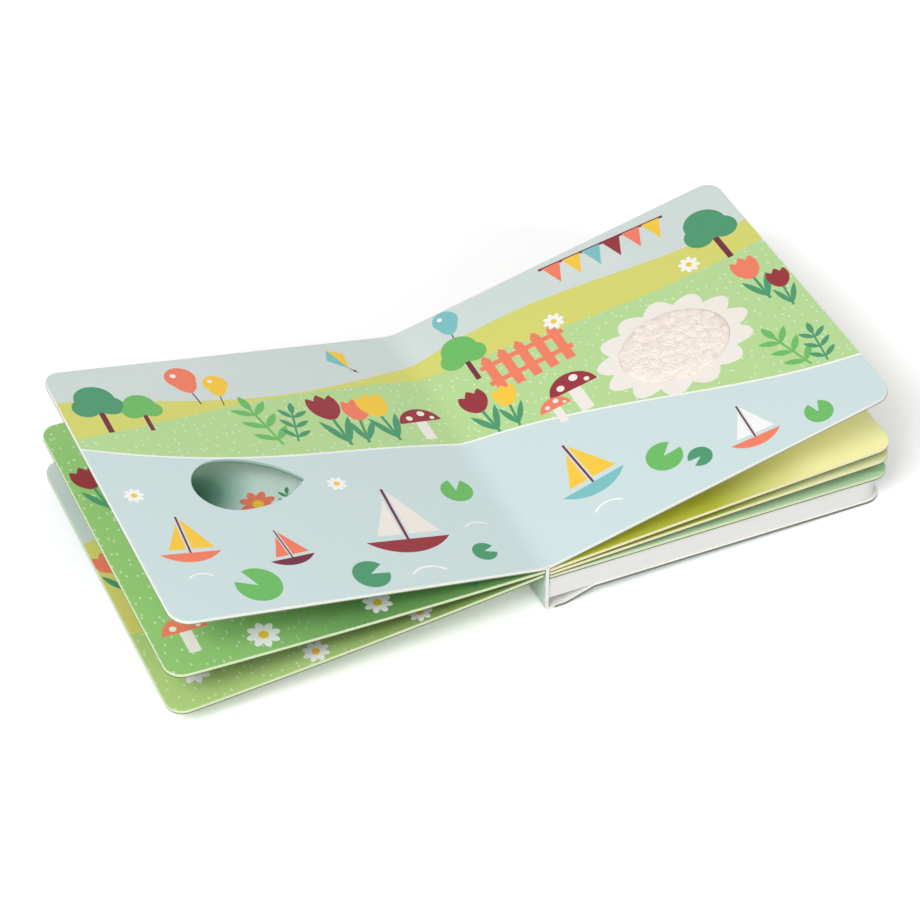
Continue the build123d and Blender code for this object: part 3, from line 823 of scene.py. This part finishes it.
def print_material(name, side, ground, hills, motifs, special=()):
    """A printed page: ground colour, hills (ink, speckled, line), special fields, then listed motifs.

    A motif's row holds its function, its place in millimetres, its size, its turn in degrees and its inks.
    """
    material, shader, wire = new_material(name)
    spot = page_spot(wire, side)
    colour = mixed(ground, white, (noise(wire, spot, mottle_scale) - 0.5) * mottle_share)
    for tint, blades, *line in hills:
        mask = mask_of(rolling(spot, *line))
        colour = mixed(colour, tint, mask)
        if blades:
            colour = speckled(colour, spot, white, mask)
    for shape in special:
        for field, tint in shape(spot):
            colour = mixed(colour, tint, mask_of(field))
    for motif, x, y, size, turn, *inks in motifs:
        local = placed(spot, x, y, (size, size), turn)
        for field, tint in motif(local, *inks):
            colour = mixed(colour, tint, mask_of(field, size))
    x, y = coordinates(spot)
    rim = both(picture_size[0] - abs(x), picture_size[1] / 2 - abs(y))
    worn = (noise(wire, spot, wear_scale, 3.0) * wear_reach - rim).math("MULTIPLY", wear_crisp, clamp=True)
    colour = mixed(colour, worn_white, worn * wear_share)
    fibre = noise(wire, spot, fibre_scale, 4.0)
    feed(shader, "Base Color", mixed(colour, white, (fibre - 0.5) * fibre_share))
    feed(shader, "Roughness", fibre * film_grain + film_rough)
    shader.inputs["Specular IOR Level"].default_value = film_gloss
    bump(shader, noise(wire, spot, grain_scale, 3.0), grain_strength, grain_height)
    print(name, len(material.node_tree.nodes), "nodes")
    return material


# %% Cut edges
ply_scale = (25, 25, 1600)
ply_share, speck_share = 0.7, 0.4
speck_grey = ink(198, 200, 186)
# Painted shadow: the lower share of each edge's thickness is darkened, as the gap under a leaf is in shade.
painted_shadow_share = 0.35


def edge_material(name, tint, line, pale):
    """The cut edge of board: pale plies tinted towards the print, partly as painted bounce light, a little
    fibre, and a painted shadow line below, where the gap under a leaf is in shade.

    The attribute share tells where a point is between the underside, 0, and the top, 1.
    """
    material, shader, wire = new_material(name)
    place = object_spot(wire)
    thin = wire.node("ShaderNodeMapping", None, {"Vector": place, "Scale": ply_scale})
    speck = noise(wire, place, 900.0, 2.0)
    share = wire.node("ShaderNodeAttribute", {"attribute_name": "share"}, None, "Fac")
    layers = mixed(pale, tint, noise(wire, thin, 1.0, 3.0) * ply_share)
    layers = mixed(layers, speck_grey, (speck - 0.45) * speck_share)
    # painted shadow along the lower part of the edge
    feed(shader, "Base Color", mixed(layers, line, share.math("LESS_THAN", painted_shadow_share)))
    shader.inputs["Roughness"].default_value = 0.75
    bump(shader, speck, 0.25, 0.0001)
    return material


# Second and last colours: the print's tint, partly painted bounce light; third: painted shadow line.
white_edge = edge_material("white_board_edge", ink(228, 232, 220), ink(132, 146, 124), ink(240, 241, 232))
green_edge = edge_material("green_board_edge", ink(196, 216, 152), ink(70, 98, 52), ink(228, 236, 204))
lime_edge = edge_material("lime_board_edge", ink(236, 228, 150), ink(104, 88, 40), ink(242, 238, 206))
# The window's cut wall is tinted dark teal as painted shade, blending with the shaded puddle below.
window_wall_in_painted_shade = edge_material("window_wall_in_painted_shade", ink(132, 172, 158), ink(96, 136, 122), ink(168, 198, 190))
print("edges with a line of ink on the lower", painted_shadow_share, "of the board")


# %% The spread on top
petal_count, petal_start, petal_depth = 13, 1.18, 0.24


def fleece_flower(spot):
    """Large petals round the touch patch: an oval with a lobed rim."""
    a, b = patch_half * 1000
    local = placed(spot, patch_centre[0] * 1000, patch_centre[1] * 1000, (a, b))
    return [(lobed(local, petal_start, petal_depth, petal_count) * b, cream)]


spread_fields = [(straw, False, 62, 7, 40, 0.4), (meadow, True, 46, 9, 62, 2.2),
                 (white, False, -5.8, 9, 50, 1.2, -0.24), (water, False, -7, 9, 50, 1.2, -0.24)]
second_page = print_material(
    "second_leaf_print", -1, sky_blue, spread_fields,
    [(balloon, -118, 70, 30, 8, coral), (balloon, -104, 64, 24, -6, yellow),
     (kite, -34, 76, 24, 20, teal, yellow),
     (round_tree, -166, 60, 36, 0, deep_green), (round_tree, -146, 54, 28, 0, leaf_green),
     (sprig, -92, 38, 40, 12, leaf_green), (sprig, -76, 34, 30, -14, deep_green),
     (tulip, -56, 32, 40, 4, dark_red), (tulip, -43, 29, 34, -8, coral), (tulip, -31, 30, 38, 6, yellow),
     (toadstool, -13, 22, 24, 0, dark_red),
     (toy_boat, -160, -40, 36, -4, yellow, coral), (toy_boat, -116, -54, 28, 5, coral, plum),
     (toy_boat, -56, -48, 52, -3, cream, dark_red),
     (lily_pad, -84, -78, 18, 20, deep_green), (lily_pad, -138, -74, 22, 140, leaf_green),
     (lily_pad, -18, -30, 16, 80, leaf_green), (lily_pad, -24, -74, 12, 10, deep_green),
     (ripple, -162, -64, 16, 0, white), (ripple, -56, -82, 24, 0, white), (ripple, -20, -56, 16, 0, white),
     (daisy, -172, -4, 10, 0, white, yellow), (daisy, -74, -14, 10, 10, white, yellow)])
third_page = print_material(
    "third_leaf_print", 1, sky_blue, spread_fields,
    [(bunting, 116, 78, 70, -3, coral, yellow, teal, dark_red, coral, yellow),
     (balloon, 26, 78, 26, -6, teal),
     (round_tree, 24, 54, 34, 0, leaf_green), (round_tree, 166, 56, 40, 0, deep_green),
     (fence, 50, 36, 46, 0, coral), (tulip, 16, 16, 34, 5, dark_red), (tulip, 29, 12, 30, -6, yellow),
     (tulip, 168, 16, 34, 0, coral), (tulip, 177, 2, 28, -8, dark_red),
     (toadstool, 60, 2, 28, 0, dark_red), (toadstool, 47, -4, 18, 0, coral),
     (sprig, 158, -34, 36, 14, leaf_green), (sprig, 172, -40, 28, -8, deep_green),
     (toy_boat, 40, -48, 42, 4, yellow, teal), (toy_boat, 118, -70, 32, -4, white, coral),
     (lily_pad, 76, -62, 18, 30, leaf_green), (lily_pad, 90, -72, 12, 200, deep_green),
     (lily_pad, 150, -80, 14, 90, leaf_green), (ripple, 40, -74, 20, 0, white),
     (daisy, 72, 50, 11, 0, white, yellow), (daisy, 146, 44, 11, 20, white, yellow)],
    [fleece_flower])

# %% [markdown]
# ## The pages that show as strips
# Below the top spread only strips of the other pages show, and through the window a piece of the first
# leaf. They follow the same recipe with other fields, and painted shade deepens them softly towards the
# gutter. A shape's field is in millimetres, so one that is made small has a wide, soft edge.

# %% Pages on the left
soft = 0.004
puddle_place, puddle_size = (-112, 16), (48, 33.6)
# how soft the painted shadow in the window's puddle is
painted_shadow_soft = 0.012


def gutter_painted_shade(tint, reach):
    """Painted shade: deeper tint towards the gutter, out to a reach in millimetres, with an edge 5 cm wide.
    """
    return lambda spot: [((reach - abs(coordinates(spot)[0])) * soft, tint)]


def window_puddle_and_painted_shadow(spot):
    """A puddle below the window: a printed oval, and two soft ones of painted shadow on its left side."""
    middle = placed(spot, *puddle_place, puddle_size)
    # the two soft discs are painted shadow, where the window's left rim shades the page below
    shapes = ((0, 0, 1.0, puddle, 1.0), (-0.48, 0.06, 0.52, pool_and_painted_shadow, painted_shadow_soft),
              (-0.62, 0.10, 0.34, deep_pool_and_painted_shadow, painted_shadow_soft))
    return [(disc(middle, x, y, radius) * (puddle_size[0] * crisp), tint)
            for x, y, radius, tint, crisp in shapes]


first_page = print_material(
    "first_leaf_print", -1, grass,
    [(grass, True, 100, 1, 40, 0), (water, False, -16, 5, 22, 0.4, 0.6), (grass, True, -54, 7, 30, 2.0)],
    [(daisy, -106, 2, 18, 10, coral, yellow), (sprig, -92, 0, 18, -20, deep_green),
     (tulip, -174, 40, 34, 8, dark_red), (round_tree, -60, 66, 40, 0, leaf_green),
     (toadstool, -168, -66, 24, 0, coral), (daisy, -136, -80, 16, 0, white, yellow),
     (daisy, -80, -80, 14, 15, white, yellow), (tulip, -34, -74, 30, 0, yellow)],
    # painted shade towards the gutter, and the painted shadow in the window's puddle
    [gutter_painted_shade(ink(112, 164, 90), 116), window_puddle_and_painted_shadow])
cover_inside = print_material(
    "cover_inside_print", -1, ink(206, 218, 212),
    [(straw, False, 26, 6, 30, 0.6), (ink(182, 216, 130), True, -30, 7, 44, 2.0)],
    [(tulip, -178, 6, 30, 6, coral), (daisy, -166, -70, 15, 0, white, yellow),
     (daisy, -112, -84, 13, 10, white, yellow), (daisy, -60, -84, 12, 30, white, yellow),
     (sprig, -90, -60, 40, 8, deep_green)],
    # painted shade: a deeper green towards the gutter
    [gutter_painted_shade(ink(140, 172, 92), 90)])

# %% Pages on the right
# Painted shade: a deeper olive towards the gutter of the fourth and fifth pages.
lime_painted_shade = gutter_painted_shade(ink(186, 192, 62), 116)
fourth_page = print_material(
    "fourth_leaf_print", 1, sky_blue,
    [(straw, False, 56, 8, 40, 0.9), (lime, False, 24, 9, 36, 0.4)],
    [(round_tree, 150, 60, 40, 0, deep_green), (daisy, 166, -50, 18, 0, white, coral),
     (sprig, 140, -40, 36, 20, leaf_green), (tulip, 70, -50, 34, 6, coral)],
    [lime_painted_shade])
fifth_page = print_material(
    "fifth_leaf_print", 1, sky_blue,
    [(straw, False, 40, 8, 40, 0.4), (lime, True, 6, 9, 36, 1.4)],
    [(daisy, 86, -80, 16, 0, coral, yellow), (round_tree, 130, 30, 60, 0, leaf_green),
     (daisy, 132, -78, 16, 0, white, coral)],
    [lime_painted_shade])
sixth_page = print_material(
    "sixth_leaf_print", 1, sky_blue,
    [(ink(176, 222, 160), True, 30, 8, 40, 0.9), (ink(202, 232, 186), False, -66, 12, 60, 0.2, -0.12)],
    [(tulip, 90, 10, 52, 4, coral), (round_tree, 40, 40, 60, 0, teal),
     (toadstool, 140, -10, 40, 0, dark_red)])

# %% [markdown]
# ## Undersides
# The undersides are seen when the book is lifted. They also throw their colour onto the page below, so the
# leaf over the fourth page is warm and pale, the one with the window is pale but for its near strip, and
# the others are deep greens that leave their gaps dark. The cover has a picture of its own outside.

# %% Undersides
plain_page = print_material(
    "inner_page_print", 1, deep_green,
    [(pool_and_painted_shadow, False, 40, 8, 40, 0.9), (deep_pool_and_painted_shadow, True, 8, 9, 36, 0.4)],
    [(balloon, 70, 66, 50, 6, coral), (balloon, 92, 60, 40, -8, yellow),
     (round_tree, 40, 30, 60, 0, leaf_green), (round_tree, 130, 24, 76, 0, teal),
     (tulip, 90, -40, 52, 4, coral), (tulip, 112, -46, 44, -6, yellow),
     (daisy, 40, -50, 34, 10, white, yellow), (toadstool, 156, -56, 40, 0, dark_red)])
pale_page = print_material(
    "pale_underside_print", 1, sky_blue,
    [(white, False, 60, 8, 40, 0.9), (deep_green, True, -44, 7, 36, 0.4)],
    [(balloon, 60, 56, 50, 6, coral), (balloon, 92, 50, 40, -8, yellow), (tulip, 100, -60, 40, 4, coral),
     (daisy, 40, -62, 30, 10, white, yellow)])
under_page = print_material(
    "underside_print", -1, leaf_green,
    [(deep_green, True, -10, 10, 40, 0.6), (pool_and_painted_shadow, False, -58, 6, 30, 2.0)],
    [(daisy, -50, 40, 44, 0, white, yellow), (daisy, -130, 50, 34, 14, white, coral),
     (sprig, -92, 10, 64, 8, deep_green), (tulip, -150, -6, 52, -5, dark_red),
     (tulip, -40, -20, 46, 6, coral), (toy_boat, -100, -60, 44, 3, cream, dark_red)])
straw_page = print_material(
    "straw_underside_print", -1, straw, [(lime, True, -10, 10, 40, 0.6)],
    [(round_tree, -60, 30, 60, 0, leaf_green), (round_tree, -120, 24, 70, 0, deep_green),
     (daisy, -40, -50, 36, 0, white, coral), (daisy, -100, -56, 30, 14, white, coral)])
cover_outside = print_material(
    "cover_outside_print", 1, teal,
    [(mint, False, 30, 8, 44, 0.4), (meadow, True, -18, 10, 40, 1.2)],
    [(balloon, 40, 54, 60, 8, coral), (balloon, 150, 56, 52, -6, yellow),
     (daisy, 92, -4, 84, 0, white, yellow), (tulip, 30, -42, 60, 6, coral),
     (tulip, 156, -44, 64, -6, dark_red), (toadstool, 130, -70, 34, 0, dark_red),
     (sprig, 60, -62, 44, 10, deep_green)])

# %% Prints on the boards
faces = {
    "first_leaf": (first_page, green_edge, plain_page),
    "second_leaf": (second_page, white_edge, pale_page, window_wall_in_painted_shade),
    "third_leaf": (third_page, white_edge, straw_page),
    "fourth_leaf": (fourth_page, lime_edge, under_page),
    "fifth_leaf": (fifth_page, lime_edge, under_page),
    "sixth_leaf": (sixth_page, green_edge, under_page),
}
for name, materials in faces.items():
    for material in materials:
        leaves[name].data.materials.append(material)
for material in (cover_inside, green_edge, cover_outside):
    cover.data.materials.append(material)
print("printed:", len(faces) + 1, "boards")

# %% [markdown]
# ## The fleece patch
# The patch is boucle fleece: a knitted ground whose yarn stands up in small matted loops. A smooth pad with
# a bump map would look like sponge, because the loops overhang. So the pad is a lumpy surface, where every
# lump is a little dome and the highest dome at a spot wins, and several hundred short curls of yarn lie on
# it. All of it is worked out flat, as s, t and height over the board, and lifted by the leaf's own map.

# %% Fleece lumps
chance = np.random.default_rng(11)
fleece_half = patch_half - 0.0001
pile_base, pile_foot, deepest_dip = 0.00072, 0.0001, -0.0003
full_dome = 0.001
lump_pitch, row_pitch, lump_stray = 0.0050, 0.00435, 0.0011
columns, rows = np.arange(-0.030, 0.0301, lump_pitch), np.arange(-0.024, 0.0241, row_pitch)
cell_x, cell_y = np.meshgrid(columns, rows)
cell_x = cell_x + lump_pitch / 2 * (np.arange(rows.size) % 2)[:, None]
lump_at = np.stack([cell_x.ravel(), cell_y.ravel()], axis=1)
lump_at = lump_at + chance.normal(0, lump_stray, lump_at.shape)
lump_at = lump_at[np.linalg.norm(lump_at / (fleece_half - 0.0006), axis=1) < 1.0]
lump_radius = chance.uniform(0.0032, 0.0048, len(lump_at))
lump_height = chance.uniform(0.0006, 0.0011, len(lump_at))


def fleece_height(flat):
    """Height of the pile over the page at flat points, and how far up a dome they are, 0 to 1.

    The height is a crowned base plus the highest dome at each point. A dome of radius r and height h is
    h (1 - d^2 / r^2) at distance d from its middle. The crown falls to the page along the rim as the square
    root of 1 - q^6, where q is 0 in the middle of the oval and 1 on its rim.
    """
    away = np.linalg.norm(flat[:, None, :] - lump_at[None], axis=2)
    domes = (lump_height * (1 - (away / lump_radius)**2)).max(axis=1)
    domes = np.maximum(domes, deepest_dip)
    rim = np.linalg.norm(flat / fleece_half, axis=1)
    crown = np.sqrt(np.clip(1 - rim**6, 0, 1))
    return crown * (pile_base + domes) + pile_foot, np.clip(domes / full_dome, 0, 1)


pad_rings, around = 80, 300
q = np.linspace(0.012, 1, pad_rings)[:, None]
angle = np.linspace(0, 2 * pi, around, endpoint=False)[None]
pad_flat = polar(q, angle).reshape(-1, 2) * fleece_half
pad_height, pad_depth = fleece_height(pad_flat)
print("lumps:", len(lump_at), "pile up to", round(pad_height.max() * 1000, 2), "mm")

# %% Fleece curls
curls, along, sides = 460, 9, 5
curl_sunk = 0.82
turn = chance.uniform(0, 2 * pi, curls)
spot_q = np.sqrt(chance.uniform(0, 0.84, curls))
spot_angle = chance.uniform(0, 2 * pi, curls)
curl_flat = polar(spot_q, spot_angle) * fleece_half
curl_foot, curl_depth = fleece_height(curl_flat)
radius = chance.uniform(0.0012, 0.0020, curls)
thick = chance.uniform(0.00060, 0.00090, curls)
lean = chance.uniform(radians(0), radians(10), curls)
sweep = chance.uniform(radians(190), radians(300), curls)


def curl_points():
    """Points of all the curls: each is a tube round an arc that leans out of the pile.

    With a along the arc and b round the tube, a point is centre + (R + w cos b) radial(a) + w sin b side.
    There radial turns from one direction in the page towards another that leans up, and side is square to
    both. The tube thins at its ends, and most of its thickness is sunk into the pile.
    """
    first = np.stack([np.cos(turn), np.sin(turn), 0 * turn], axis=1)
    second = np.stack([-np.sin(turn) * np.cos(lean), np.cos(turn) * np.cos(lean), np.sin(lean)], axis=1)
    side = np.cross(first, second)
    share = np.linspace(0, 1, along)
    a = sweep[:, None] * (share - 0.5) + pi / 2
    b = np.linspace(0, 2 * pi, sides, endpoint=False)
    radial = np.cos(a)[..., None] * first[:, None] + np.sin(a)[..., None] * second[:, None]
    width = thick[:, None] * np.sqrt(1.02 - (2 * share - 1)**8)
    centre = np.column_stack([curl_flat, curl_foot - radius * np.sin(lean) * 0.5 - thick * curl_sunk])
    ring = radius[:, None, None] + width[..., None] * np.cos(b)
    return (centre[:, None, None] + ring[..., None] * radial[:, :, None]
            + (width[..., None] * np.sin(b))[..., None] * side[:, None, None])


curl_list = curl_points().reshape(-1, 3)
print("curls:", curls, "points:", len(curl_list))

# %% Fleece as one piece
third_place, _ = spread(1)
pad = np.column_stack([pad_flat, pad_height])
floor_rim = np.column_stack([pad_flat[-around:], np.full(around, -patch_recess)])
flat_points = np.concatenate([pad, floor_rim, curl_list])
x, z = third_place(patch_centre[0] + flat_points[:, 0], 1 + flat_points[:, 2] / board)
fleece_points = np.stack([x, patch_centre[1] + flat_points[:, 1], z], axis=1)
# depth drives the fleece's painted shade: 0 in hollows and at the rim, higher on domes and curls
depth = np.concatenate([pad_depth, np.zeros(around), np.repeat(0.6 + 0.4 * curl_depth, along * sides)])

index = np.arange((pad_rings + 1) * around).reshape(pad_rings + 1, around)
tube = np.arange(len(curl_list)).reshape(curls, along, sides) + index.size
tube_quads = ring_quads(tube.swapaxes(0, 1)).swapaxes(0, 1)
fleece_faces = ring_quads(index).reshape(-1, 4).tolist() + tube_quads.reshape(-1, 4).tolist()
fleece_faces += [index[0].tolist(), index[-1][::-1].tolist()]
fleece_faces += tube[:, 0].tolist() + tube[:, -1, ::-1].tolist()
fleece_mesh = bpy.data.meshes.new("fleece_pad")
fleece_mesh.from_pydata(fleece_points.tolist(), [], fleece_faces)
fleece_mesh.attributes.new("depth", "FLOAT", "POINT").data.foreach_set("value", depth.astype(np.float32))
fleece_mesh.shade_smooth()
fleece = linked("fleece_pad", fleece_mesh)
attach(fleece, "book")
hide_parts("fleece_patch")
print("fleece faces:", len(fleece_mesh.polygons))

# %% Fleece material
# Painted shade: the fleece is darker in its hollows and along its rim, and paler on the tops of lumps.
fleece_hollow_shade, fleece_top = ink(236, 221, 208), ink(250, 241, 232)
tuft_scale, yarn_scale = 420.0, 2400.0
fleece_material, fleece_shader, fleece_wire = new_material("cream_fleece")
fleece_spot = object_spot(fleece_wire)
lit = fleece_wire.node("ShaderNodeAttribute", {"attribute_name": "depth"}, None, "Fac")
tuft = noise(fleece_wire, fleece_spot, tuft_scale, 3.0)
lit = lit.math("MULTIPLY_ADD", 0.7, tuft * 0.3, clamp=True)
# painted shade by height in the pile
feed(fleece_shader, "Base Color", mixed(fleece_hollow_shade, fleece_top, lit))
fleece_shader.inputs["Roughness"].default_value = 0.95
fleece_shader.inputs["Specular IOR Level"].default_value = 0.1
bump(fleece_shader, noise(fleece_wire, fleece_spot, yarn_scale, 3.0), 0.15, 0.0002)
fleece_mesh.materials.append(fleece_material)
print("fleece material:", len(fleece_material.node_tree.nodes), "nodes")

# %% [markdown]
# ## Card, foam and module
# The folded card, the block and the module keep their CAD shapes. What they need is a surface: the card is
# printed outside, white inside and bare grey along the back cover's edges, a grey made darker as painted
# shade under the block; the block is closed-cell foam, and the mouldings have the fine grain of a
# spark-eroded tool. Each surface varies a little, because no real one is a single flat colour.


# %% Moulded surfaces
tone_scale, tone_share = 70.0, 0.6
spark_rough, spark_height = 0.16, 0.00006


def moulded(name, colour, shade, roughness, grain, scale=1500.0, metallic=0.0):
    """A surface with a mottled tone, a fine grain and a roughness that follows the grain."""
    material, shader, wire = new_material(name)
    place = object_spot(wire)
    fine = noise(wire, place, scale, 2.0)
    feed(shader, "Base Color", mixed(colour, shade, noise(wire, place, tone_scale, 3.0) * tone_share))
    feed(shader, "Roughness", fine * spark_rough + roughness)
    shader.inputs["Metallic"].default_value = metallic
    bump(shader, fine, grain, spark_height)
    print(name, "roughness from", roughness)
    return material


# %% The folded card
dot_radius, dot_half_pitch, dot_share = 0.9, 5.0, 0.7
facing_limit = 0.5
spine_reach = 0.002
card_scale, card_rough = 700.0, 0.42
# The back cover's edges are bare grey board, in a grey darkened as painted shade under the block.
card_white, bare_grey_and_painted_shade, mint_shade = ink(242, 241, 237), ink(126, 130, 116), ink(196, 222, 210)


def card_material():
    """The folded card: printed with staggered dots where it faces left or down, and white elsewhere.

    Across the card counts x - z, which runs on round the fold, and along it y, both in millimetres. The
    side edges of the back cover, to the right of the spine, are bare grey board, darkened as painted shade
    under the block.
    """
    material, shader, wire = new_material("spine_card_print")
    place = object_spot(wire)
    x = wire.node("ShaderNodeSeparateXYZ", None, {0: place})
    across, along_it = (x - x.other(2)) * 1000, x.other(1) * 1000
    dots = []
    for shift in (0, dot_half_pitch):
        u = (across + shift).math("PINGPONG", dot_half_pitch)
        v = (along_it + shift).math("PINGPONG", dot_half_pitch)
        dots.append(dot_radius - (u * u + v * v).math("SQRT"))
    facing = wire.node("ShaderNodeNewGeometry").other("True Normal")
    leftward = facing.node("ShaderNodeSeparateXYZ", None, {0: facing})
    outside = either(-leftward, -leftward.other(2)).math("GREATER_THAN", facing_limit)
    colour = mixed(mint, mint_shade, noise(wire, place, 30.0, 2.0) * tone_share)
    colour = mixed(colour, white, mask_of(either(*dots)) * dot_share)
    sideways = abs(leftward.other(1)).math("GREATER_THAN", facing_limit)
    # bare grey, partly painted shade, on the back cover's side edges
    plain = mixed(card_white, bare_grey_and_painted_shade, x.math("GREATER_THAN", spine_reach) * sideways)
    feed(shader, "Base Color", mixed(plain, colour, outside))
    fine = noise(wire, place, card_scale, 3.0)
    feed(shader, "Roughness", fine * film_grain + card_rough)
    shader.inputs["Specular IOR Level"].default_value = film_gloss
    bump(shader, fine, 0.1, 0.0001)
    print("card with dots of", 2 * dot_radius, "mm")
    return material


# %% A finish for every slot
slots = {
    "cover_card": card_material(),
    "white_block": moulded("white_foam", ink(240, 239, 236), ink(226, 225, 222), 0.78, 0.5, 2600.0),
    "white_moulding": moulded("white_moulding", ink(238, 238, 234), ink(226, 226, 224), 0.42, 0.25),
    "button_moulding": moulded("button_moulding", ink(228, 232, 232), ink(214, 218, 220), 0.42, 0.25),
    "dark_moulding": moulded("dark_moulding", ink(52, 52, 56), ink(40, 40, 44), 0.42, 0.25),
    "black_resin": moulded("black_resin", ink(26, 26, 28), ink(36, 36, 38), 0.18, 0.05),
    "clear_film": moulded("film_sheet", ink(222, 226, 230), ink(206, 212, 218), 0.2, 0.05),
    "circuit_board": moulded("solder_mask", ink(36, 116, 66), ink(28, 92, 54), 0.34, 0.15),
    "steel": moulded("satin_steel", ink(204, 204, 202), ink(176, 176, 176), 0.26, 0.12, 900.0, 1.0),
    "cone_paper": moulded("cone_paper", ink(48, 46, 44), ink(34, 33, 32), 0.8, 0.5),
    "wire": moulded("wire_sleeve", ink(170, 30, 34), ink(140, 24, 30), 0.5, 0.1),
}
kept = 0
for part in frame["record"]["subparts"]:
    node = frame["nodes"][part["node"]]
    if not node.hide_render:
        node.data.materials.clear()
        node.data.materials.append(slots[part["material_slot"]])
        kept += 1
print("CAD nodes dressed:", kept)
